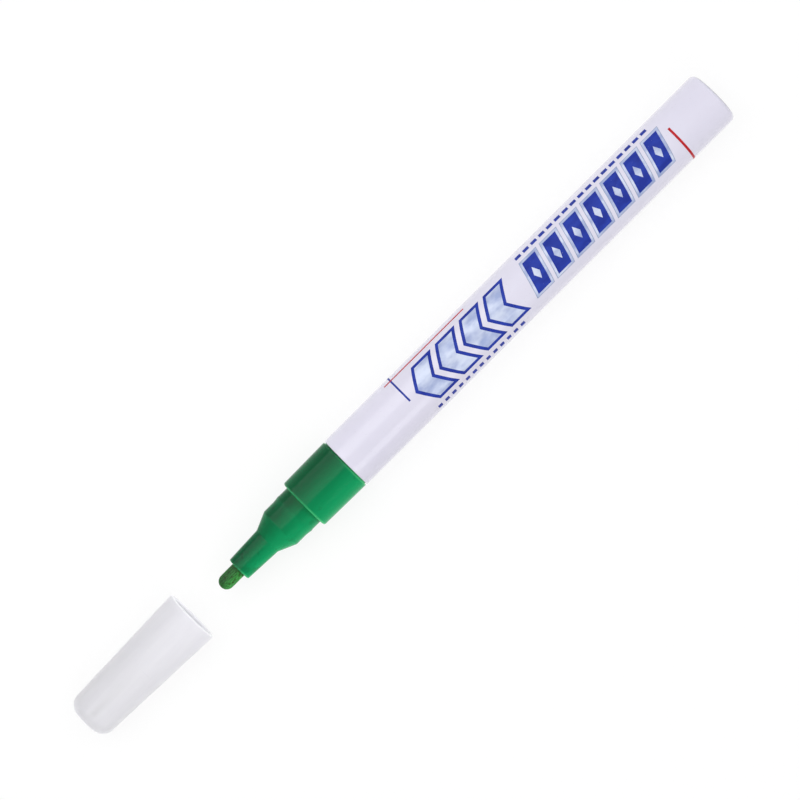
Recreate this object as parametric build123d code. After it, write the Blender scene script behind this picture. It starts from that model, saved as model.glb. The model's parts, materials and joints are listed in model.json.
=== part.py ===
from build123d import *
import math
import os

# A paint marker lying on a table with its cap pulled off, in millimetres.
# Every piece but the loose ball stands round the long axis, X, and the tip points to +X.
# Places along X are counted from the barrel's mouth, where the green collar meets it.

# Barrel: a deep drawn aluminium can
barrel_diameter = 11.0
barrel_length = 94.6
barrel_wall = 0.45
barrel_base_thickness = 0.8
barrel_base_round = 0.9
barrel_inner_round = 0.45
barrel_mouth_round = 0.2

# Front holder: plug inside the barrel, collar, cap seat, neck, cone and nib tube in one moulding
plug_length = 9.0
plug_clearance = 0.05
collar_length = 10.8
collar_inset = 0.05
collar_taper = 0.15
collar_rear_round = 0.3
collar_front_round = 0.4
cap_shoulder_width = 0.98
cap_seat_length = 2.7
snap_bead_width = 0.7
snap_bead_height = 0.05
snap_bead_slope = 0.2
seat_taper_length = 0.9
seat_taper_drop = 0.1
neck_length = 2.4
neck_round = 0.4
cone_length = 3.4
tube_root_round = 0.6
tube_length = 7.3
tube_wall = 0.66
tube_draft = 0.32
tube_front_round = 0.25
gallery_wall = 1.2
gallery_setback = 0.4
chamber_wall = 0.7
chamber_front = 11.5
guide_rib_count = 6
guide_rib_width = 0.5
guide_rib_setback = 0.4

# Nib: a pressed fibre rod with a round end
nib_diameter = 3.0
nib_length = 24.0
nib_exposed = 4.6
nib_air_gap = 0.25
nib_guide_clearance = 0.04
nib_rear_chamfer = 0.3
nib_travel = 1.2
nib_stop_gap = 0.3

# Pump valve behind the nib
valve_fit = 0.03
valve_wall = 0.79
seat_thickness = 2.0
seat_hole_diameter = 2.4
window_count = 4
window_width = 1.6
window_length = 2.2
window_setback = 0.3
gasket_thickness = 1.0
gasket_clearance = 0.04
stem_flow_gap = 0.4
stem_head_thickness = 1.4
stem_head_flow_gap = 0.3
stem_seal_gap = 0.02
stem_tail_length = 5.0
spring_guide_clearance = 0.25
spring_wire = 0.35
spring_turns = 8
spring_length = 14.5
spring_side_clearance = 0.5
spring_end_gap = 0.02
retainer_thickness = 1.2
retainer_boss_length = 1.2
retainer_port_count = 3
retainer_port_diameter = 1.0
retainer_port_circle = 1.7

# Mixing ball: a loose steel ball on the floor of the barrel
ball_diameter = 6.0
ball_floor_gap = 0.1
ball_from_base = 24.0

# Cap: a moulded shell with a soft inner cup
cap_pulled_off = 28.6
cap_length = 27.4
cap_rim_gap = 0.05
cap_bore_clearance = 0.04
cap_bore_run_on = 0.25
cap_mouth_wall = 1.0
cap_end_wall = 0.87
cap_end_thickness = 1.0
cap_end_round = 2.5
cap_floor_round = 1.2
cap_rim_round = 0.25
cap_lead_in = 0.3
snap_groove_depth = 0.05
snap_groove_side_gap = 0.1
cap_rib_count = 6
cap_rib_width = 0.6
cap_rib_setback = 0.5
inner_cap_wall = 0.75
inner_cap_end_thickness = 0.8
inner_cap_fit = 0.03
inner_cap_bore_clearance = 0.07
seal_reach = 4.8
seal_lip_length = 0.8
seal_clearance = 0.04

# Radii that follow from these sizes
barrel_radius = barrel_diameter / 2
barrel_bore = barrel_radius - barrel_wall
plug_radius = barrel_bore - plug_clearance
collar_rear_radius = barrel_radius - collar_inset
collar_front_radius = collar_rear_radius - collar_taper
seat_radius = collar_front_radius - cap_shoulder_width
bead_radius = seat_radius + snap_bead_height
neck_radius = seat_radius - seat_taper_drop
nib_radius = nib_diameter / 2
nib_bore = nib_radius + nib_air_gap
nib_guide = nib_radius + nib_guide_clearance
tube_front_radius = nib_bore + tube_wall
tube_rear_radius = tube_front_radius + tube_draft
gallery_radius = neck_radius - gallery_wall
chamber_radius = neck_radius - chamber_wall
valve_radius = chamber_radius - valve_fit
spring_chamber = valve_radius - valve_wall
seat_hole = seat_hole_diameter / 2
stem_radius = seat_hole - stem_flow_gap
stem_head_radius = spring_chamber - stem_head_flow_gap
spring_outer = spring_chamber - spring_side_clearance
spring_mean = spring_outer - spring_wire / 2
spring_core = spring_outer - spring_wire - spring_guide_clearance
inner_cap_bore = tube_rear_radius + inner_cap_bore_clearance
inner_cap_radius = inner_cap_bore + inner_cap_wall
cap_bore = bead_radius + cap_bore_clearance
cap_end_bore = inner_cap_radius + inner_cap_fit
cap_mouth_radius = cap_bore + cap_mouth_wall
cap_end_radius = cap_end_bore + cap_end_wall

# Places along X that follow from these sizes
barrel_rear = -barrel_length
barrel_floor = barrel_rear + barrel_base_thickness
seat_front = collar_length + cap_seat_length
neck_rear = seat_front + seat_taper_length
neck_front = neck_rear + neck_length
tube_rear = neck_front + cone_length
tube_front = tube_rear + tube_length
nib_tip = tube_front + nib_exposed
nib_rear = nib_tip - nib_length
valve_seat_front = nib_rear - nib_travel - nib_stop_gap
valve_seat_rear = valve_seat_front - seat_thickness
gasket_rear = valve_seat_rear - gasket_thickness
head_front = gasket_rear - stem_seal_gap
head_rear = head_front - stem_head_thickness
retainer_front = head_rear - spring_length
retainer_rear = retainer_front - retainer_thickness
cap_mouth = collar_length + cap_rim_gap
cap_end = cap_mouth + cap_length
cap_floor = cap_end - cap_end_thickness
cap_bore_end = neck_front + cap_bore_run_on
inner_cap_mouth = tube_front - seal_reach
seal_lip_radius = tube_front_radius + tube_draft * seal_reach / tube_length + seal_clearance

# The finished model stands on z = 0, with its origin under the middle of its whole length
middle = (barrel_rear + cap_end + cap_pulled_off) / 2
on_the_table = Pos(-middle, 0, barrel_radius)


def turned(*corners):
    """A solid turned about X from corners (x, radius) or (x, radius, corner round)."""
    points = [corner[:2] for corner in corners]
    rounds = [corner[2] if len(corner) == 3 else 0 for corner in corners]
    return revolve(make_face(FilletPolyline(*points, radius=rounds, close=True)), Axis.X)


def fins(count, width, start, end, inner, outer):
    """Flat fins that stand round the X axis, from one radius to another."""
    fin = Pos((start + end) / 2, 0, (inner + outer) / 2) * Box(end - start, width, outer - inner)
    return [Rot(360 * i / count, 0, 0) * fin for i in range(count)]


def barrel():
    return turned(
        (barrel_rear, 0),
        (barrel_rear, barrel_radius, barrel_base_round),
        (0, barrel_radius, barrel_mouth_round),
        (0, barrel_bore),
        (barrel_floor, barrel_bore, barrel_inner_round),
        (barrel_floor, 0),
    )


def front_holder():
    bead_rear = seat_front - snap_bead_width
    moulding = turned(
        (-plug_length, plug_radius),
        (0, plug_radius),
        (0, collar_rear_radius, collar_rear_round),
        (collar_length, collar_front_radius, collar_front_round),
        (collar_length, seat_radius),
        (bead_rear, seat_radius),
        (bead_rear + snap_bead_slope, bead_radius),
        (seat_front - snap_bead_slope, bead_radius),
        (seat_front, seat_radius),
        (neck_rear, neck_radius),
        (neck_front, neck_radius, neck_round),
        (tube_rear, tube_rear_radius, tube_root_round),
        (tube_front, tube_front_radius, tube_front_round),
        (tube_front, nib_bore),
        (tube_rear - gallery_setback, nib_bore),
        (neck_front - gallery_setback, gallery_radius),
        (chamber_front, gallery_radius),
        (chamber_front, chamber_radius),
        (-plug_length, chamber_radius),
    )
    rib_root = (nib_bore + tube_front_radius) / 2
    rib_front = tube_front - guide_rib_setback
    return moulding + fins(guide_rib_count, guide_rib_width, tube_rear, rib_front, nib_guide, rib_root)


def nib():
    return turned(
        (nib_rear, 0),
        (nib_rear, nib_radius - nib_rear_chamfer),
        (nib_rear + nib_rear_chamfer, nib_radius),
        (nib_tip - nib_radius, nib_radius),
        (nib_tip - nib_radius, 0),
    ) + Pos(nib_tip - nib_radius, 0, 0) * Sphere(nib_radius)


def valve_body():
    housing = turned(
        (retainer_rear, valve_radius),
        (chamber_front, valve_radius),
        (chamber_front, nib_guide),
        (valve_seat_front, nib_guide),
        (valve_seat_front, seat_hole),
        (valve_seat_rear, seat_hole),
        (valve_seat_rear, spring_chamber),
        (retainer_rear, spring_chamber),
    )
    window_rear = retainer_front + window_setback
    wall_middle = (spring_chamber + valve_radius) / 2
    window_depth = 2 * valve_wall
    return housing - fins(
        window_count,
        window_width,
        window_rear,
        window_rear + window_length,
        wall_middle - window_depth / 2,
        wall_middle + window_depth / 2,
    )


def valve_gasket():
    return turned(
        (gasket_rear, seat_hole),
        (gasket_rear, spring_chamber - gasket_clearance),
        (valve_seat_rear, spring_chamber - gasket_clearance),
        (valve_seat_rear, seat_hole),
    )


def valve_stem():
    return turned(
        (head_rear - stem_tail_length, 0),
        (head_rear - stem_tail_length, spring_core, spring_core / 2),
        (head_rear, spring_core),
        (head_rear, stem_head_radius),
        (head_front, stem_head_radius),
        (head_front, stem_radius),
        (nib_rear, stem_radius),
        (nib_rear, 0),
    )


def valve_spring():
    """A coil wound in quarter turns, each joined to the next by two tangent arcs."""
    quarters = round(4 * spring_turns)
    wire_start = retainer_front + spring_end_gap + spring_wire / 2
    wire_end = head_rear - spring_end_gap - spring_wire / 2
    rise = (wire_end - wire_start) / quarters
    around = spring_mean * math.pi / 2

    def on_the_coil(quarter):
        angle = quarter * math.pi / 2
        sine = math.sin(angle)
        cosine = math.cos(angle)
        place = Vector(wire_start + rise * quarter, spring_mean * cosine, spring_mean * sine)
        heading = Vector(rise, -around * sine, around * cosine).normalized()
        return place, heading

    arcs = []
    for quarter in range(quarters):
        start, out = on_the_coil(quarter)
        end, into = on_the_coil(quarter + 1)
        chord = end - start
        bend = 2 * (1 - out.dot(into))
        along = 2 * chord.dot(out + into)
        reach = (math.sqrt(along**2 + 4 * bend * chord.dot(chord)) - along) / (2 * bend)
        first_corner = start + out * reach
        second_corner = end - into * reach
        joint = (first_corner + second_corner) * 0.5
        arcs.append(TangentArc(start, joint, tangent=out))
        arcs.append(TangentArc(joint, end, tangent=second_corner - first_corner))
    path = Wire([arc.edge() for arc in arcs])
    start, heading = on_the_coil(0)
    return sweep(Plane(start, z_dir=heading) * Circle(spring_wire / 2), path)


def spring_retainer():
    disc = turned(
        (retainer_rear, 0),
        (retainer_rear, spring_chamber - valve_fit),
        (retainer_front, spring_chamber - valve_fit),
        (retainer_front, spring_core),
        (retainer_front + retainer_boss_length, spring_core),
        (retainer_front + retainer_boss_length, 0),
    )
    length = 2 * (retainer_thickness + retainer_boss_length)
    port = Rot(0, 90, 0) * Cylinder(retainer_port_diameter / 2, length)
    ports = [
        Rot(360 * i / retainer_port_count, 0, 0) * Pos(retainer_front, 0, retainer_port_circle / 2) * port
        for i in range(retainer_port_count)
    ]
    return disc - ports


def mixing_ball():
    radius = ball_diameter / 2
    low = barrel_bore - radius - ball_floor_gap
    return Pos(barrel_floor + ball_from_base, 0, -low) * Sphere(radius)


def cap_shell():
    """The cap as it sits on the marker; it is pulled off when the pieces are placed."""
    outside = turned(
        (cap_mouth, 0),
        (cap_mouth, cap_mouth_radius, cap_rim_round),
        (cap_end, cap_end_radius, cap_end_round),
        (cap_end, 0),
    )
    groove_radius = cap_bore + snap_groove_depth
    groove_rear = seat_front - snap_bead_width - snap_groove_side_gap
    groove_front = seat_front + snap_groove_side_gap
    hollow = turned(
        (cap_mouth, 0),
        (cap_mouth, cap_bore + cap_lead_in),
        (cap_mouth + cap_lead_in, cap_bore),
        (groove_rear, cap_bore),
        (groove_rear + snap_groove_depth, groove_radius),
        (groove_front - snap_groove_depth, groove_radius),
        (groove_front, cap_bore),
        (cap_bore_end, cap_bore),
        (cap_floor, cap_end_bore, cap_floor_round),
        (cap_floor, 0),
    )
    rib_rear = inner_cap_mouth + cap_rib_setback
    ribs = fins(cap_rib_count, cap_rib_width, rib_rear, cap_floor, cap_end_bore, cap_mouth_radius)
    return outside - hollow + [rib & outside for rib in ribs]


def inner_cap():
    return turned(
        (cap_floor, 0),
        (cap_floor, inner_cap_radius, cap_floor_round),
        (inner_cap_mouth, inner_cap_radius),
        (inner_cap_mouth, seal_lip_radius),
        (inner_cap_mouth + seal_lip_length, seal_lip_radius),
        (inner_cap_mouth + 2 * seal_lip_length, inner_cap_bore),
        (cap_floor - inner_cap_end_thickness, inner_cap_bore),
        (cap_floor - inner_cap_end_thickness, 0),
    )


pulled_off = Pos(cap_pulled_off, 0, 0)
pieces = {
    "barrel": barrel(),
    "front_holder": front_holder(),
    "nib": nib(),
    "valve_body": valve_body(),
    "valve_gasket": valve_gasket(),
    "valve_stem": valve_stem(),
    "valve_spring": valve_spring(),
    "spring_retainer": spring_retainer(),
    "mixing_ball": mixing_ball(),
    "cap_shell": pulled_off * cap_shell(),
    "inner_cap": pulled_off * inner_cap(),
}

os.makedirs("parts", exist_ok=True)
for name, piece in pieces.items():
    export_step(on_the_table * piece, f"parts/{name}.step")
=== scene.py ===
import json
import math

import bmesh
import bpy
from mathutils import Color, Matrix, Vector, noise


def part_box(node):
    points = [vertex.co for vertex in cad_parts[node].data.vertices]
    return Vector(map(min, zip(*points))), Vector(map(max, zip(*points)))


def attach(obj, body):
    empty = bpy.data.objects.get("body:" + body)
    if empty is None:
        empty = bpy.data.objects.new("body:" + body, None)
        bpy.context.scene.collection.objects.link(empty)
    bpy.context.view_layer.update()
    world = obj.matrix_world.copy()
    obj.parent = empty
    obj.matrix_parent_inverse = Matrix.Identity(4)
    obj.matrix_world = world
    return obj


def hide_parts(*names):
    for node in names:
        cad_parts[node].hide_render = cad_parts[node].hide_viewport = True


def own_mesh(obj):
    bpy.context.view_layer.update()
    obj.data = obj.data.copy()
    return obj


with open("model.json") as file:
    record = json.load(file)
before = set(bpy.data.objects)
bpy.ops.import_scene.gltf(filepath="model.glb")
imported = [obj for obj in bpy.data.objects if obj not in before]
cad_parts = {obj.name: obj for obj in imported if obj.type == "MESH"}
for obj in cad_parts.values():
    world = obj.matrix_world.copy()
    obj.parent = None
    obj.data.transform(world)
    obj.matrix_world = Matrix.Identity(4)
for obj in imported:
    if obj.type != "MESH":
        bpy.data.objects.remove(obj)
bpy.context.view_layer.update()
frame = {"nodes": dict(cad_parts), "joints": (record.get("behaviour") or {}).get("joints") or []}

# Barrel: a can drawn in one piece from aluminium sheet, closed at the rear end. It is sprayed
# lavender white and baked, and its mouth is pressed over the plug of the green nib holder.
mm = 0.001
barrel_lowest, barrel_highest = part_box("barrel")
barrel_rear = barrel_lowest.x
barrel_mouth = barrel_highest.x
barrel_radius = (barrel_highest.z - barrel_lowest.z) / 2
axis_height = (barrel_highest.z + barrel_lowest.z) / 2
barrel_wall = 0.45 * mm
barrel_base_thickness = 0.8 * mm
barrel_bore = barrel_radius - barrel_wall
barrel_floor = barrel_rear + barrel_base_thickness
barrel_base_round = 0.9 * mm
barrel_mouth_round = 0.2 * mm
barrel_floor_round = 0.45 * mm
base_dish_depth = 0.15 * mm
base_dish_radius = 3.7 * mm
base_dish_slope = 0.8 * mm
base_dish_round = 1.2 * mm
arc_steps = 6
lathe_sides = 144
weld_distance = 0.0001 * mm


def outline_of(corners):
    """The points of a closed outline from its corners (x, radius) or (x, radius, round)."""
    points = []
    for i, corner in enumerate(corners):
        here = Vector(corner[:2])
        if len(corner) == 2:
            points.append(here)
            continue
        back = (Vector(corners[i - 1][:2]) - here).normalized()
        ahead = (Vector(corners[(i + 1) % len(corners)][:2]) - here).normalized()
        half_angle = back.angle(ahead) / 2
        centre = here + (back + ahead).normalized() * corner[2] / math.sin(half_angle)
        first = here + back * corner[2] / math.tan(half_angle) - centre
        last = here + ahead * corner[2] / math.tan(half_angle) - centre
        turns = [first.slerp(last, part / arc_steps) for part in range(arc_steps + 1)]
        points += [centre + turn * corner[2] for turn in turns]
    return points


def turned(corners, sides=lathe_sides):
    """A mesh turned about the marker's axis from the corners of half its section."""
    shape = bmesh.new()
    section = [shape.verts.new((x, 0, radius)) for x, radius in outline_of(corners)]
    lines = [
        shape.edges.new((start, end))
        for start, end in zip(section, section[1:] + section[:1])
        if start.co.z or end.co.z
    ]
    bmesh.ops.spin(
        shape,
        geom=section + lines,
        cent=(0, 0, 0),
        axis=(1, 0, 0),
        angle=2 * math.pi,
        steps=sides,
        use_merge=True,
    )
    bmesh.ops.remove_doubles(shape, verts=shape.verts, dist=weld_distance)
    bmesh.ops.recalc_face_normals(shape, faces=shape.faces)
    return shape


def made(name, shape, finish, body, stands_for=(), crease=math.radians(35)):
    """Finish a mesh that was built round the x axis as a smooth piece of the marker."""
    bmesh.ops.translate(shape, verts=shape.verts, vec=(0, 0, axis_height))
    mesh = bpy.data.meshes.new(name)
    shape.to_mesh(mesh)
    shape.free()
    mesh.shade_smooth()
    mesh.set_sharp_from_angle(angle=crease)
    mesh.materials.append(finish)
    piece = bpy.data.objects.new(name, mesh)
    bpy.context.scene.collection.objects.link(piece)
    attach(piece, body)
    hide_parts(*stands_for)
    return piece


class Tone:
    """A value in a finish's node tree. Arithmetic on tones adds the Math nodes that work it out."""

    def __init__(self, tree, socket):
        self.tree = tree
        self.socket = socket

    def node(self, kind, settings, sockets, gives=0):
        """Add a node: its type, its settings, and the values or links of its sockets."""
        node = self.tree.nodes.new(kind)
        for name, setting in settings.items():
            setattr(node, name, setting)
        for name, value in sockets.items():
            if isinstance(value, Tone):
                self.tree.links.new(value.socket, node.inputs[name])
            else:
                node.inputs[name].default_value = value
        return Tone(self.tree, node.outputs[gives])

    def math(self, operation, first, second=0.0):
        return self.node("ShaderNodeMath", {"operation": operation}, {0: first, 1: second})

    def __add__(self, other):
        return self.math("ADD", self, other)

    def __sub__(self, other):
        return self.math("SUBTRACT", self, other)

    def __rsub__(self, other):
        return self.math("SUBTRACT", other, self)

    def __mul__(self, other):
        return self.math("MULTIPLY", self, other)

    __radd__ = __add__
    __rmul__ = __mul__


def shade(red, green, blue):
    """A colour as it looks on a screen, from 0 to 255, as a shader takes it."""
    return (*Color((red / 255, green / 255, blue / 255)).from_srgb_to_scene_linear(), 1)


def new_finish(name, constants):
    """A material, its shader with these constants, and the place from the frame's middle in mm."""
    material = bpy.data.materials.new(name)
    material.use_nodes = True
    tree = material.node_tree
    shader = tree.nodes["Principled BSDF"]
    for socket, constant in constants.items():
        shader.inputs[socket].default_value = constant
    metres = Tone(tree, tree.nodes.new("ShaderNodeTexCoord").outputs["Object"])
    centred = {0: metres, 1: (0, 0, axis_height)}
    axis = metres.node("ShaderNodeVectorMath", {"operation": "SUBTRACT"}, centred)
    place = axis.node("ShaderNodeVectorMath", {"operation": "SCALE"}, {0: axis, "Scale": 1 / mm})
    return material, shader, place


def feed(shader, **sockets):
    """Link what changes over the surface to the shader's sockets."""
    for name, tone in sockets.items():
        tone.tree.links.new(tone.socket, shader.inputs[name.replace("_", " ")])


def drawn_out(place, along, across):
    """The place for a grain of these sizes in millimetres, along the marker and across it."""
    sizes = (1 / along, 1 / across, 1 / across)
    return place.node("ShaderNodeVectorMath", {"operation": "MULTIPLY"}, {0: place, 1: sizes})


def cloud(place, size, detail=3.0):
    """Soft noise from 0 to 1 with blotches of this size."""
    return place.node("ShaderNodeTexNoise", {}, {"Vector": place, "Scale": 1 / size, "Detail": detail})


def step(tone, low, high):
    """0 where the tone is under low, 1 where it is over high, and a smooth ramp between."""
    limits = {"Value": tone, "From Min": low, "From Max": high}
    return tone.node("ShaderNodeMapRange", {"interpolation_type": "SMOOTHSTEP"}, limits)


def mix(mask, first, second):
    """The first colour where the mask is 0 and the second where it is 1."""
    return mask.node("ShaderNodeMix", {"data_type": "RGBA"}, {0: mask, 6: first, 7: second}, gives=2)


def bump(height, depth):
    """The surface's normal under a height from 0 to 1 that stands for this depth in metres."""
    return height.node("ShaderNodeBump", {}, {"Distance": depth, "Height": height})


def along_marker(place):
    """How far a place is along the marker, in millimetres from the middle of the frame."""
    return place.node("ShaderNodeSeparateXYZ", {}, {0: place})


def from_axis(place):
    """How far a place is from the marker's axis, in millimetres."""
    across = place.node("ShaderNodeVectorMath", {"operation": "MULTIPLY"}, {0: place, 1: (0, 1, 1)})
    return across.node("ShaderNodeVectorMath", {"operation": "LENGTH"}, {0: across}, gives=1)


def lacquer():
    """Baked gloss lacquer: faint clouds, orange peel, rubbing marks, a rear rim darkened to grey, and bare
    metal where it is chipped.
    """
    material, shader, place = new_finish(
        "barrel_lacquer", {"IOR": 1.5, "Coat Weight": 0.6, "Coat Roughness": 0.06}
    )
    rim_depth = (0.14, 0.32)
    rim_radius = (4.2, 4.7)
    from_rear = along_marker(place) - barrel_rear / mm
    rim = (1 - step(from_rear, *rim_depth)) * step(from_axis(place), *rim_radius)
    rubbed = step(cloud(drawn_out(place, 9.0, 0.35), 1.0), 0.58, 0.8)
    chips = step(cloud(place, 0.6) + rim * 0.2, 0.74, 0.8) * rim
    specks = step(cloud(place, 0.22, detail=0.0), 0.8, 0.86)
    base = mix(cloud(place, 14.0), shade(220, 217, 234), shade(230, 227, 243))
    base = mix(specks * 0.25, base, shade(150, 148, 160))
    # The rear rim is darkened to grey.
    base = mix(rim * 0.6, base, shade(160, 158, 170))
    base = mix(chips, base, shade(190, 190, 194))
    peel = cloud(place, 0.55, detail=2.0)
    feed(
        shader,
        Base_Color=base,
        Metallic=chips,
        Roughness=0.2 + rubbed * 0.05 + cloud(place, 5.0) * 0.05,
        Normal=bump(peel * 0.5 - rubbed * 0.05 - chips * 0.6, 0.002 * mm),
    )
    return material


barrel = made(
    "barrel_can",
    turned([
        (barrel_rear + base_dish_depth, 0),
        (barrel_rear + base_dish_depth, base_dish_radius - base_dish_slope, base_dish_round),
        (barrel_rear, base_dish_radius, base_dish_round),
        (barrel_rear, barrel_radius, barrel_base_round),
        (barrel_mouth, barrel_radius, barrel_mouth_round),
        (barrel_mouth, barrel_bore),
        (barrel_floor, barrel_bore, barrel_floor_round),
        (barrel_floor, 0),
    ]),
    lacquer(),
    body="barrel_body",
    stands_for=["barrel"],
)

# Print: screen inks laid on the lacquer in thin films. Four silver chevrons edged in blue lead to
# the tip, seven blue bars edged in silver follow, with small marks and red and blue lines beside them.
ink_height = 0.014 * mm
ink_depth = 0.004 * mm
ink_bend = math.radians(2.5)

# The flat drawing of the print, in millimetres behind the barrel's mouth and round from its top.
ink_snap = 0.001
chevron_start = 17.9
chevron_count = 4
chevron_pitch = 6.1
chevron_sweep = 2.6
chevron_width = 4.9
chevron_half_height = 4.25
chevron_border = 0.62
bar_start = 45.6
bar_count = 7
bar_pitch = 5.15
bar_slant = 2.0
bar_width = 4.4
bar_half_height = 3.75
bar_key_line = 0.12
bar_border = 0.45
lozenge_half_width = 0.7
lozenge_half_height = 1.4
dash_start = 48.4
dash_count = 17
dash_pitch = 2.0
dash_around = -5.1
dash_length = 1.35
dash_width = 0.85
dot_start = 19.6
dot_count = 13
dot_pitch = 1.75
dot_around = 5.8
dot_size = 0.95
pin_stripe_middle = 24.7
pin_stripe_length = 20.2
pin_stripe_around = -5.8
pin_stripe_width = 0.36
blue_line_place = 16.2
blue_line_width = 0.36
blue_line_start = -172
blue_line_end = 3
red_line_place = 84.0
red_line_width = 0.48
red_line_start = -18
red_line_end = 165


def framed(outline, border):
    """Split a flat outline into the border round it, as quads, and the field inside."""
    flat = bmesh.new()
    field = flat.faces.new([flat.verts.new((*point, 0)) for point in outline])
    flat.normal_update()
    edge = bmesh.ops.inset_individual(flat, faces=[field], thickness=border, use_even_offset=True)["faces"]
    quads = [[vert.co.xy.copy() for vert in quad.verts] for quad in edge]
    inside = [vert.co.xy.copy() for vert in field.verts]
    flat.free()
    return quads, inside


def block(along, around, length, width):
    """A rectangle that is centred on a place on the unrolled barrel."""
    return [
        (along - length / 2, around - width / 2),
        (along + length / 2, around - width / 2),
        (along + length / 2, around + width / 2),
        (along - length / 2, around + width / 2),
    ]


def row(start, count, pitch, around, length, width):
    """A row of like rectangles along the barrel."""
    return [block(start + i * pitch, around, length, width) for i in range(count)]


def ring(along, width, start, end):
    """A line round the barrel from one angle to another, in degrees from its top."""
    degree = math.radians(1) * barrel_radius / mm
    return block(along, (start + end) / 2 * degree, width, (end - start) * degree)


def printed(name, outlines, finish):
    """Wrap the outlines of the flat drawing on the barrel as a film of ink.

    The flat film is cut into strips, so that it bends, and made into a slab. The top of the slab then
    goes to the ink's height over the lacquer, and its underside to a little depth in it.
    """
    slab = 1.0
    film = bmesh.new()
    for outline in outlines:
        film.faces.new([film.verts.new((*point, 0)) for point in outline])
    bmesh.ops.remove_doubles(film, verts=film.verts, dist=ink_snap)
    bmesh.ops.triangulate(film, faces=film.faces)
    strip = ink_bend * barrel_radius / mm
    reach = max(abs(vert.co.y) for vert in film.verts)
    for cut in range(-int(reach / strip), int(reach / strip) + 1):
        everything = film.verts[:] + film.edges[:] + film.faces[:]
        bmesh.ops.bisect_plane(
            film, geom=everything, dist=ink_snap, plane_co=(0, cut * strip, 0), plane_no=(0, 1, 0)
        )
    film.normal_update()
    bmesh.ops.reverse_faces(film, faces=[face for face in film.faces if face.normal.z < 0])
    bmesh.ops.solidify(film, geom=film.faces[:], thickness=slab)
    top = max(vert.co.z for vert in film.verts)
    for vert in film.verts:
        radius = barrel_radius + (ink_height if vert.co.z > top - slab / 2 else -ink_depth)
        turn = vert.co.y * mm / barrel_radius
        vert.co = (barrel_mouth - vert.co.x * mm, radius * math.sin(turn), radius * math.cos(turn))
    bmesh.ops.recalc_face_normals(film, faces=film.faces)
    return made(name, film, finish, body="barrel_body")


def ink(name, deep, light, size, metal=0.0):
    """Screen ink: uneven cover, a fine mesh grain and a few pinholes."""
    material, shader, place = new_finish(
        name, {"IOR": 1.5, "Specular IOR Level": 0.2, "Metallic": metal}
    )
    cover = cloud(drawn_out(place, size, size / 2), 1.0)
    mesh_grain = cloud(place, 0.14, detail=1.0)
    holes = step(cloud(place, 0.3), 0.72, 0.8)
    base = mix(step(cover, 0.3, 0.7), deep, light)
    feed(
        shader,
        Base_Color=mix(holes * 0.4, base, shade(226, 224, 237)),
        Roughness=0.3 + mesh_grain * 0.15,
        Normal=bump(mesh_grain * 0.6 - holes * 0.4, 0.004 * mm),
    )
    return material


blue_print = []
silver_print = []
key_print = []
for i in range(chevron_count):
    nose = chevron_start + i * chevron_pitch
    wing = nose + chevron_sweep
    border, field = framed(
        [
            (nose, 0),
            (wing, chevron_half_height),
            (wing + chevron_width, chevron_half_height),
            (nose + chevron_width, 0),
            (wing + chevron_width, -chevron_half_height),
            (wing, -chevron_half_height),
        ],
        chevron_border,
    )
    blue_print += border
    silver_print.append(field)
for i in range(bar_count):
    foot = bar_start + i * bar_pitch
    head = foot + bar_slant
    key_line, rest = framed(
        [
            (foot, bar_half_height),
            (foot + bar_width, bar_half_height),
            (head + bar_width, -bar_half_height),
            (head, -bar_half_height),
        ],
        bar_key_line,
    )
    border, field = framed(rest, bar_border)
    key_print += key_line
    silver_print += border
    middle = foot + (bar_slant + bar_width) / 2
    lozenge = [
        Vector((middle - lozenge_half_width, 0)),
        Vector((middle, -lozenge_half_height)),
        Vector((middle + lozenge_half_width, 0)),
        Vector((middle, lozenge_half_height)),
    ]
    silver_print.append(lozenge)
    corners, points = [
        sorted(outline, key=lambda corner: math.atan2(corner.y, corner.x - middle))
        for outline in (field, lozenge)
    ]
    for j in range(len(points)):
        k = (j + 1) % len(points)
        blue_print.append([points[j], corners[j], corners[k], points[k]])
blue_print += row(dash_start, dash_count, dash_pitch, dash_around, dash_length, dash_width)
blue_print += row(dot_start, dot_count, dot_pitch, dot_around, dot_size, dot_size)
blue_print.append(ring(blue_line_place, blue_line_width, blue_line_start, blue_line_end))
red_print = [
    block(pin_stripe_middle, pin_stripe_around, pin_stripe_length, pin_stripe_width),
    ring(red_line_place, red_line_width, red_line_start, red_line_end),
]

silver_ink = ink("silver_ink", shade(154, 167, 206), shade(208, 216, 236), 4.0, metal=0.3)
prints = [
    printed("print_blue", blue_print, ink("blue_ink", shade(26, 46, 146), shade(36, 60, 168), 3.0)),
    printed("print_silver", silver_print, silver_ink),
    printed("print_key_lines", key_print, ink("steel_ink", shade(138, 152, 182), shade(160, 172, 198), 3.0)),
    printed("print_red", red_print, ink("red_ink", shade(178, 22, 32), shade(196, 34, 42), 3.0)),
]

# Mixing ball: a polished steel ball, loose in the barrel. It stirs the paint when the marker is
# shaken, and it keeps a thin film of paint on it.


def ball_steel():
    """Polished steel: fine rolling marks and a patchy film of paint."""
    material, shader, place = new_finish("ball_steel", {"Metallic": 1.0})
    film = step(cloud(place, 1.6), 0.52, 0.68)
    marks = cloud(drawn_out(place, 0.2, 1.5), 1.0)
    base = mix(film * 0.6, shade(196, 197, 200), shade(30, 120, 74))
    feed(shader, Base_Color=base, Roughness=0.12 + film * 0.3 + marks * 0.1, Normal=bump(marks, 0.003 * mm))
    return material


def dress(node, finish):
    """Give a carried-over node its finish."""
    for slot in frame["nodes"][node].material_slots:
        slot.material = finish


dress("mixing_ball", ball_steel())

# Pump valve: a body of natural plastic with a ported disc at its rear, a white plunger and a
# rubber ring that it closes on. It is pressed together and pushed into the nib holder from behind.


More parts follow.
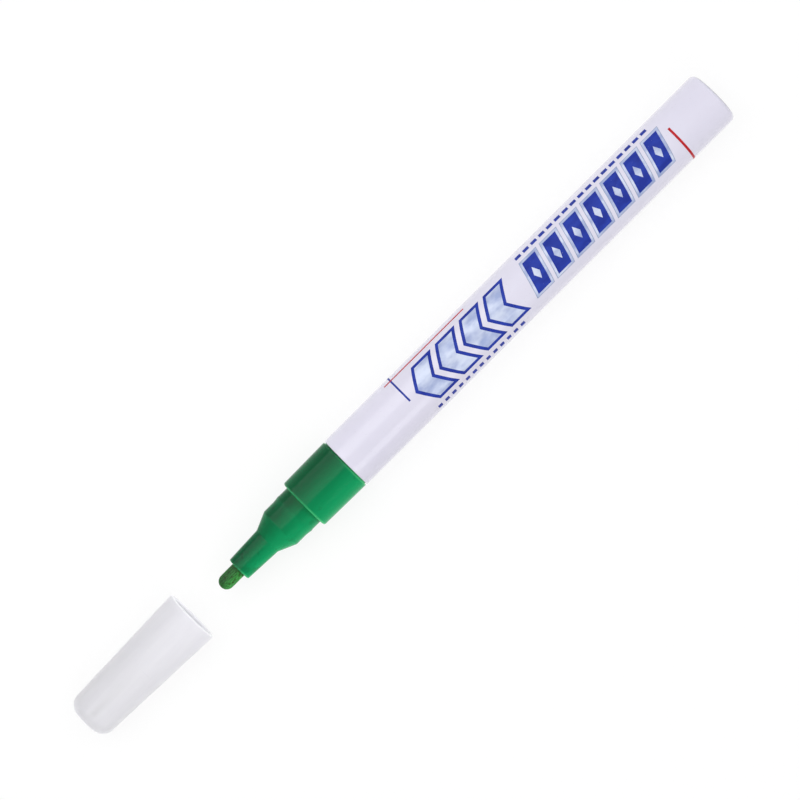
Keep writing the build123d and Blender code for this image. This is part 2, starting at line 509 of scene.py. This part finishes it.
def moulded(name, deep, light, wet):
    """Plain moulded plastic: flow lines, a fine tool grain and patches of paint."""
    material, shader, place = new_finish(name, {"IOR": 1.5})
    flow = cloud(drawn_out(place, 5.0, 0.7), 1.0)
    grain = cloud(place, 0.1, detail=1.0)
    paint = step(cloud(place, 1.3), 0.56, 0.7)
    base = mix(paint * wet, mix(flow, deep, light), shade(24, 130, 76))
    feed(
        shader,
        Base_Color=base,
        Roughness=0.4 + flow * 0.12 - paint * 0.15,
        Normal=bump(grain * 0.5 + flow * 0.5, 0.005 * mm),
    )
    return material


def seal_rubber():
    """Soft black rubber: a dull bloom and a fine pebbled skin."""
    material, shader, place = new_finish("seal_rubber", {"IOR": 1.52})
    bloom = cloud(place, 0.7)
    skin = cloud(place, 0.08, detail=1.0)
    base = mix(bloom, shade(34, 34, 35), shade(58, 58, 60))
    feed(shader, Base_Color=base, Roughness=0.62 + bloom * 0.2, Normal=bump(skin, 0.01 * mm))
    return material


natural = moulded("natural_plastic", shade(222, 219, 208), shade(234, 231, 222), 0.35)
dress("valve_body", natural)
dress("spring_retainer", natural)
dress("valve_stem", moulded("stem_plastic", shade(226, 226, 222), shade(238, 238, 235), 0.25))
dress("valve_gasket", seal_rubber())

# Valve spring: stainless wire wound in eight open turns. It stands on the ported disc and pushes
# the plunger shut. In the marker it shortens when the nib is pressed; this coil keeps its rest length.
spring_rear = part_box("valve_spring")[0].x
spring_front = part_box("valve_spring")[1].x
spring_wire = 0.35 * mm
wire_radius = spring_wire / 2
spring_outer = 2.2 * mm
spring_mean = spring_outer - wire_radius
spring_turns = 8
spring_points = 40
wire_sides = 10
nib_press = next(joint for joint in frame["joints"] if joint["name"] == "nib_press")
nib_travel = nib_press["range_m"][1]


def coil():
    """A wire wound round the x axis, with a closed round section at each end."""
    shape = bmesh.new()
    total = spring_turns * spring_points
    run = spring_front - spring_rear - spring_wire
    forward = Vector((1, 0, 0))
    around = [2 * math.pi * j / wire_sides for j in range(wire_sides)]
    sections = []
    for i in range(total + 1):
        turn = 2 * math.pi * i / spring_points
        outward = Vector((0, math.cos(turn), math.sin(turn)))
        centre = forward * (spring_rear + wire_radius + run * i / total) + outward * spring_mean
        sections.append([
            shape.verts.new(centre + (outward * math.cos(angle) + forward * math.sin(angle)) * wire_radius)
            for angle in around
        ])
    for section, after in zip(sections, sections[1:]):
        for j in range(wire_sides):
            k = (j + 1) % wire_sides
            shape.faces.new((section[j], section[k], after[k], after[j]))
    shape.faces.new(sections[0])
    shape.faces.new(sections[-1])
    bmesh.ops.recalc_face_normals(shape, faces=shape.faces)
    return shape


def spring_steel():
    """Drawn stainless wire: fine draw marks and a little paint."""
    material, shader, place = new_finish("spring_steel", {"Metallic": 1.0})
    draw = cloud(drawn_out(place, 0.1, 0.6), 1.0)
    paint = step(cloud(place, 0.9), 0.6, 0.72)
    base = mix(paint * 0.5, shade(188, 188, 190), shade(26, 118, 70))
    feed(shader, Base_Color=base, Roughness=0.22 + draw * 0.16 + paint * 0.2, Normal=bump(draw, 0.004 * mm))
    return material


spring = made(
    "valve_spring_coil",
    coil(),
    spring_steel(),
    body="barrel_body",
    stands_for=["valve_spring"],
)
1 - nib_travel / (spring_front - spring_rear)
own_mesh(spring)

# Nib holder: the collar that stops against the barrel, the seat for the cap, the cone and the
# nib tube, moulded in green plastic as one piece. Its plug is pressed into the barrel's mouth.
plug_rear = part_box("front_holder")[0].x
tube_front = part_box("front_holder")[1].x
collar_length = 10.8 * mm
seat_length = 2.7 * mm
seat_taper_length = 0.9 * mm
neck_length = 2.4 * mm
cone_length = 3.4 * mm
collar_front = barrel_mouth + collar_length
seat_front = collar_front + seat_length
neck_rear = seat_front + seat_taper_length
neck_front = neck_rear + neck_length
tube_rear = neck_front + cone_length
plug_radius = 5.0 * mm
joint_groove_radius = 5.12 * mm
joint_groove_width = 0.22 * mm
collar_rear_radius = 5.45 * mm
collar_rear_round = 0.2 * mm
collar_front_radius = 5.30 * mm
collar_front_round = 0.4 * mm
seat_radius = 4.32 * mm
bead_radius = 4.37 * mm
bead_width = 0.7 * mm
bead_slope = 0.2 * mm
neck_radius = 4.22 * mm
neck_round = 0.4 * mm
tube_rear_radius = 2.73 * mm
tube_root_round = 0.6 * mm
tube_front_radius = 2.41 * mm
tube_front_round = 0.25 * mm
nib_bore = 1.75 * mm
nib_guide = 1.54 * mm
gallery_radius = 3.02 * mm
gallery_setback = 0.4 * mm
chamber_reach = 11.5 * mm
chamber_front = barrel_mouth + chamber_reach
chamber_radius = 3.52 * mm
guide_rib_count = 6
guide_rib_width = 0.5 * mm
guide_rib_setback = 0.4 * mm


def add_fins(shape, count, width, start, end, inner, outer):
    """Stand flat fins round the x axis inside a turned mesh."""
    for i in range(count):
        fin = bmesh.ops.create_cube(shape, size=1.0)["verts"]
        middle = ((start + end) / 2, 0, (inner + outer) / 2)
        bmesh.ops.scale(shape, verts=fin, vec=(end - start, width, outer - inner))
        bmesh.ops.translate(shape, verts=fin, vec=middle)
        turn = Matrix.Rotation(2 * math.pi * i / count, 3, "X")
        bmesh.ops.rotate(shape, verts=fin, cent=(0, 0, 0), matrix=turn)
    return shape


def green_plastic():
    """Moulded green plastic: flow lines, a faint spark finish, scuffs, smears of paint and painted
    highlights on the edges.
    """
    material, shader, place = new_finish("green_plastic", {"IOR": 1.46, "Specular IOR Level": 0.1})
    flow = cloud(drawn_out(place, 7.0, 0.8), 1.0)
    scuffs = step(cloud(drawn_out(place, 0.25, 3.0), 1.0), 0.62, 0.8)
    along = along_marker(place)
    collar_start = barrel_mouth / mm
    collar_end = collar_front / mm
    tube_start = tube_rear / mm
    tube_end = tube_front / mm
    smear = step(cloud(place, 2.2) + step(along, tube_start, tube_end) * 0.1, 0.62, 0.72)
    # Painted highlights: paler green bands on the collar's rear and front edges and the tube's front edge,
    # where rounded edges would catch light.
    rear_edge_highlight = 1 - step(along, collar_start + 0.35, collar_start + 0.6)
    front_edge_highlight = step(along, collar_end - 0.5, collar_end - 0.3) - step(along, collar_end - 0.1, collar_end)
    tube_edge_highlight = step(along, tube_end - 0.45, tube_end - 0.2)
    edges = rear_edge_highlight + front_edge_highlight + tube_edge_highlight
    base = mix(flow, shade(3, 132, 79), shade(6, 145, 88))
    base = mix(scuffs * 0.06, base, shade(90, 170, 120))
    base = mix(smear * 0.4, base, shade(4, 104, 58))
    # Mixes the painted edge highlights into the colour.
    base = mix(edges * 0.45, base, shade(70, 190, 120))
    spark = cloud(place, 0.09, detail=1.0)
    feed(
        shader,
        Base_Color=base,
        Roughness=0.12 + flow * 0.05 + scuffs * 0.1 - smear * 0.03,
        Normal=bump(spark * 0.5 + flow * 0.5, 0.004 * mm),
    )
    return material


holder_shape = turned([
    (plug_rear, plug_radius),
    (barrel_mouth, plug_radius),
    (barrel_mouth, joint_groove_radius),
    (barrel_mouth + joint_groove_width, joint_groove_radius),
    (barrel_mouth + joint_groove_width, collar_rear_radius, collar_rear_round),
    (collar_front, collar_front_radius, collar_front_round),
    (collar_front, seat_radius),
    (seat_front - bead_width, seat_radius),
    (seat_front - bead_width + bead_slope, bead_radius),
    (seat_front - bead_slope, bead_radius),
    (seat_front, seat_radius),
    (neck_rear, neck_radius),
    (neck_front, neck_radius, neck_round),
    (tube_rear, tube_rear_radius, tube_root_round),
    (tube_front, tube_front_radius, tube_front_round),
    (tube_front, nib_bore),
    (tube_rear - gallery_setback, nib_bore),
    (neck_front - gallery_setback, gallery_radius),
    (chamber_front, gallery_radius),
    (chamber_front, chamber_radius),
    (plug_rear, chamber_radius),
])
rib_front = tube_front - guide_rib_setback
rib_root = (nib_bore + tube_front_radius) / 2
add_fins(holder_shape, guide_rib_count, guide_rib_width, tube_rear, rib_front, nib_guide, rib_root)
holder = made(
    "nib_holder",
    holder_shape,
    green_plastic(),
    body="barrel_body",
    stands_for=["front_holder"],
)

# Nib: a rod of polyester fibres pressed and glued together, ground to a round end and soaked in
# green paint. It slides in the tube and opens the valve when it is pressed.
nib_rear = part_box("nib")[0].x
nib_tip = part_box("nib")[1].x
nib_radius = 1.5 * mm
nib_chamfer = 0.3 * mm
nib_ring_gap = 0.12 * mm
fibre_length = 0.9 * mm
fibre_width = 0.13 * mm
fibre_depth = 0.035 * mm
nib_sides = 120
nib_tip_steps = 16


def fibre_rod():
    """The turned rod with its surface sunk between the strands."""
    straight = nib_tip - nib_radius
    steps = round((straight - tube_front) / nib_ring_gap)
    rings = [(tube_front + (straight - tube_front) * i / steps, nib_radius) for i in range(steps)]
    quarter = [math.radians(90 * i / nib_tip_steps) for i in range(nib_tip_steps)]
    tip = [(straight + nib_radius * math.sin(angle), nib_radius * math.cos(angle)) for angle in quarter]
    rod = turned(
        [(nib_rear, 0), (nib_rear, nib_radius - nib_chamfer), (nib_rear + nib_chamfer, nib_radius)]
        + rings
        + tip
        + [(nib_tip, 0)],
        nib_sides,
    )
    for vert in rod.verts:
        if vert.co.x < tube_front:
            continue
        strand = Vector((vert.co.x / fibre_length, vert.co.y / fibre_width, vert.co.z / fibre_width))
        sunk = fibre_depth * (0.5 + 0.5 * noise.noise(strand))
        outward = Vector((max(vert.co.x - straight, 0), vert.co.y, vert.co.z)).normalized()
        vert.co -= outward * sunk
    return rod


def nib_fibre():
    """Pressed fibres full of paint: fine strands along the rod, dark and light, and dark pits."""
    material, shader, place = new_finish("nib_fibre", {"IOR": 1.45, "Specular IOR Level": 0.25})
    strands = cloud(drawn_out(place, fibre_length / mm, fibre_width / mm), 1.0, detail=4.0)
    pits = step(cloud(place, 0.5, detail=4.0), 0.52, 0.7)
    base = mix(step(strands, 0.35, 0.65), shade(36, 96, 40), shade(74, 170, 80))
    base = mix(pits * 0.85, base, shade(44, 66, 18))
    feed(
        shader,
        Base_Color=base,
        Roughness=0.5 + strands * 0.3,
        Normal=bump(strands - pits * 0.6, 0.02 * mm),
    )
    return material


nib = made("fibre_nib", fibre_rod(), nib_fibre(), body="nib_unit", stands_for=["nib"])

# Inner cap: a soft cup in the cap, moulded in natural plastic and pressed in between its ribs.
# Its lip seals round the nib tube, so that the paint does not dry.
cap_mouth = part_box("cap_shell")[0].x
cap_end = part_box("cap_shell")[1].x
cap_end_thickness = 1.0 * mm
cap_floor = cap_end - cap_end_thickness
cap_floor_round = 1.2 * mm
cup_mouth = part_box("inner_cap")[0].x
cup_radius = 3.55 * mm
cup_bore = 2.80 * mm
cup_lip = 2.66 * mm
cup_lip_length = 0.8 * mm
cup_lip_round = 0.15 * mm
cup_end_thickness = 0.8 * mm
cup_floor = cap_floor - cup_end_thickness

cup = made(
    "inner_cap_cup",
    turned([
        (cap_floor, 0),
        (cap_floor, cup_radius, cap_floor_round),
        (cup_mouth, cup_radius, cup_lip_round),
        (cup_mouth, cup_lip, cup_lip_round),
        (cup_mouth + cup_lip_length, cup_lip),
        (cup_mouth + 2 * cup_lip_length, cup_bore),
        (cup_floor, cup_bore),
        (cup_floor, 0),
    ]),
    moulded("seal_plastic", shade(224, 226, 224), shade(236, 237, 236), 0.05),
    body="cap",
    stands_for=["inner_cap"],
)

# Cap: a tapered shell moulded in milky white plastic with a gate mark on its closed end. It pushes
# on over the nose and snaps over the bead on the seat, and its rim stops against the collar.
cap_mouth_radius = 5.41 * mm
cap_end_radius = 4.45 * mm
cap_end_round = 2.5 * mm
cap_bore = 4.41 * mm
cap_bore_length = 6.2 * mm
cap_bore_end = cap_mouth + cap_bore_length
cap_end_bore = 3.58 * mm
cap_lead_in = 0.3 * mm
cap_rim_round = 0.25 * mm
groove_radius = 4.46 * mm
groove_setback = 1.85 * mm
groove_width = 0.9 * mm
groove_rear = cap_mouth + groove_setback
groove_front = groove_rear + groove_width
groove_slope = 0.05 * mm
cap_rib_count = 6
cap_rib_width = 0.6 * mm
cap_rib_setback = 0.5 * mm
cap_rib_cover = 0.2 * mm
gate_radius = 0.9 * mm
gate_depth = 0.12 * mm
gate_round = 0.1 * mm


def cap_plastic():
    """Milky plastic: faint flow lines, a fine matt grain, and marks of rubbing that run round it."""
    material, shader, place = new_finish(
        "cap_plastic",
        {
            "IOR": 1.49,
            "Subsurface Weight": 0.6,
            "Subsurface Radius": (1, 1, 1),
            "Subsurface Scale": 1.2 * mm,
        },
    )
    flow = cloud(drawn_out(place, 10.0, 1.2), 1.0)
    grain = cloud(place, 0.12, detail=1.0)
    rubbed = step(cloud(drawn_out(place, 0.3, 4.0), 1.0), 0.6, 0.8)
    base = mix(flow, shade(226, 225, 231), shade(236, 235, 240))
    base = mix(rubbed * 0.12, base, shade(205, 204, 212))
    feed(
        shader,
        Base_Color=base,
        Roughness=0.36 + flow * 0.08 + rubbed * 0.15,
        Normal=bump(grain * 0.6 + flow * 0.4, 0.005 * mm),
    )
    return material


cap_shape = turned([
    (cap_mouth, cap_bore + cap_lead_in),
    (cap_mouth, cap_mouth_radius, cap_rim_round),
    (cap_end, cap_end_radius, cap_end_round),
    (cap_end, gate_radius, gate_round),
    (cap_end - gate_depth, gate_radius - gate_depth),
    (cap_end - gate_depth, 0),
    (cap_floor, 0),
    (cap_floor, cap_end_bore, cap_floor_round),
    (cap_bore_end, cap_bore),
    (groove_front, cap_bore),
    (groove_front - groove_slope, groove_radius),
    (groove_rear + groove_slope, groove_radius),
    (groove_rear, cap_bore),
    (cap_mouth + cap_lead_in, cap_bore),
])
cap_rib_start = cup_mouth + cap_rib_setback
cap_rib_end = cap_floor - cap_floor_round
cap_rib_root = cap_end_radius - cap_rib_cover
add_fins(cap_shape, cap_rib_count, cap_rib_width, cap_rib_start, cap_rib_end, cap_end_bore, cap_rib_root)
cap = made(
    "cap_shell_moulding",
    cap_shape,
    cap_plastic(),
    body="cap",
    stands_for=["cap_shell"],
)

# Table and studio: a plain white sheet in a white room, with soft boxes that each light the table,
# the barrel, the green nose or the cap. The camera hangs over the marker and looks straight down.
table_size = 2.0
table_white = (0.95, 0.95, 0.95, 1)
table_glow = 0.85
table = bpy.data.objects.new("table", bpy.data.meshes.new("table"))
sheet = bmesh.new()
bmesh.ops.create_grid(sheet, x_segments=1, y_segments=1, size=table_size)
sheet.to_mesh(table.data)
sheet.free()
bpy.context.scene.collection.objects.link(table)


def seen_by_eye(tree):
    """1 where it is looked at, straight, in a mirror or through glass, and 0 where it only gives light."""
    ray = tree.nodes.new("ShaderNodeLightPath")
    straight = Tone(tree, ray.outputs["Is Camera Ray"])
    mirrored = Tone(tree, ray.outputs["Is Glossy Ray"])
    through = Tone(tree, ray.outputs["Is Transmission Ray"])
    return straight + mirrored + through


def white_table():
    """White for the eye and in reflections, with a share of plain diffuse white that takes the shadow."""
    material = bpy.data.materials.new("white_table")
    material.use_nodes = True
    tree = material.node_tree
    tree.nodes.remove(tree.nodes["Principled BSDF"])
    seen = seen_by_eye(tree)
    plain = seen.node("ShaderNodeBsdfDiffuse", {}, {"Color": table_white})
    glow = seen.node("ShaderNodeEmission", {}, {"Color": (1, 1, 1, 1), "Strength": 1.0})
    surface = seen.node("ShaderNodeMixShader", {}, {0: seen * table_glow, 1: plain, 2: glow})
    tree.links.new(surface.socket, tree.nodes["Material Output"].inputs["Surface"])
    return material


table.data.materials.append(white_table())

world = bpy.data.worlds.new("studio")
bpy.context.scene.world = world
world.use_nodes = True
room = world.node_tree.nodes["Background"]
room.inputs["Color"].default_value = (1, 1, 1, 1)
room_light = 0.13
room_strength = room_light + seen_by_eye(world.node_tree) * (1 - room_light)
world.node_tree.links.new(room_strength.socket, room.inputs["Strength"])
lamp_distance = 0.7


def soft_box(name, around, height, size, brightness, lights, along=0.0, shines=True, shows=True):
    """A soft box that faces the marker from an angle round it and a height over the table, in degrees.

    The brightness is that of its face, whatever its size in metres. It lights only the pieces that
    are listed. Where it shines it lights their colour, and where it shows it lights their gloss.
    """
    lamp = bpy.data.lights.new(name, "AREA")
    lamp.shape = "RECTANGLE"
    lamp.size = size[0]
    lamp.size_y = size[1]
    lamp.energy = brightness * math.pi * size[0] * size[1]
    stand = bpy.data.objects.new(name, lamp)
    rise = math.radians(height)
    outward = Matrix.Rotation(math.radians(around), 3, "Z") @ Vector((math.cos(rise), 0, math.sin(rise)))
    stand.location = Vector((along, 0, axis_height)) + outward * lamp_distance
    stand.rotation_euler = outward.to_track_quat("Z", "Y").to_euler()
    stand.visible_diffuse = shines
    stand.visible_glossy = shows
    bpy.context.scene.collection.objects.link(stand)
    lit = bpy.data.collections.new(name + "_lights")
    for piece in lights:
        lit.objects.link(piece)
    stand.light_linking.receiver_collection = lit


# Each has its angle round the marker, its height, its size, its brightness and the pieces it lights.
soft_box("overhead_soft_box", -90, 86, (1.2, 1.2), 1.25, [barrel, table, *prints], along=-0.25, shows=False)
soft_box("left_soft_box", -90, 57, (0.65, 0.57), 1.05, [barrel, table, *prints], along=0.28)
soft_box("right_soft_box", 90, 41, (0.65, 0.3), 1.4, [barrel, table, *prints], along=0.28)
soft_box("table_soft_box", 0, 90, (1.2, 1.2), 0.4, [table])
soft_box("left_fill", -90, 20, (0.8, 0.35), 1.0, [barrel, *prints], along=-0.25, shows=False)
soft_box("right_fill", 90, 20, (0.8, 0.35), 0.9, [barrel, *prints], along=-0.25, shows=False)
soft_box("cap_soft_box", 0, 68, (1.2, 0.8), 0.78, [cap, cup])
soft_box("cap_end_soft_box", 0, 15, (0.8, 0.35), 1.8, [cap, cup], shows=False)
soft_box("cap_mouth_soft_box", 180, 55, (1.0, 0.6), 0.85, [cap, cup], shows=False)
soft_box("cap_left_soft_box", -138, 30, (0.8, 0.5), 1.55, [cap, cup], shows=False)
soft_box("cap_right_soft_box", 138, 30, (0.8, 0.5), 2.2, [cap, cup], shows=False)
soft_box("nose_soft_box", 116, 30, (0.9, 0.25), 7.3, [holder, nib], shows=False)
soft_box("nose_panel", -90, 54, (1.2, 1.4), 2.6, [holder, nib], shines=False)
soft_box("front_soft_box", 15, 12, (0.6, 0.2), 3.0, [holder, nib])
soft_box("cone_soft_box", 10, 10, (0.8, 0.15), 8.0, [holder], shows=False)

camera_height = 0.68
camera_turn = math.radians(135.11)
view_across = 145.62 * mm
sensor_width = 36.0
picture_centre = (-1.16 * mm, -1.13 * mm)
camera = bpy.data.objects.new("camera", bpy.data.cameras.new("camera"))
camera.data.sensor_width = sensor_width
camera.data.lens = sensor_width * camera_height / view_across
camera.location = (*picture_centre, axis_height + camera_height)
camera.rotation_euler = (0, 0, camera_turn)
bpy.context.scene.collection.objects.link(camera)
bpy.context.scene.camera = camera
bpy.context.scene.view_settings.view_transform = "Standard"
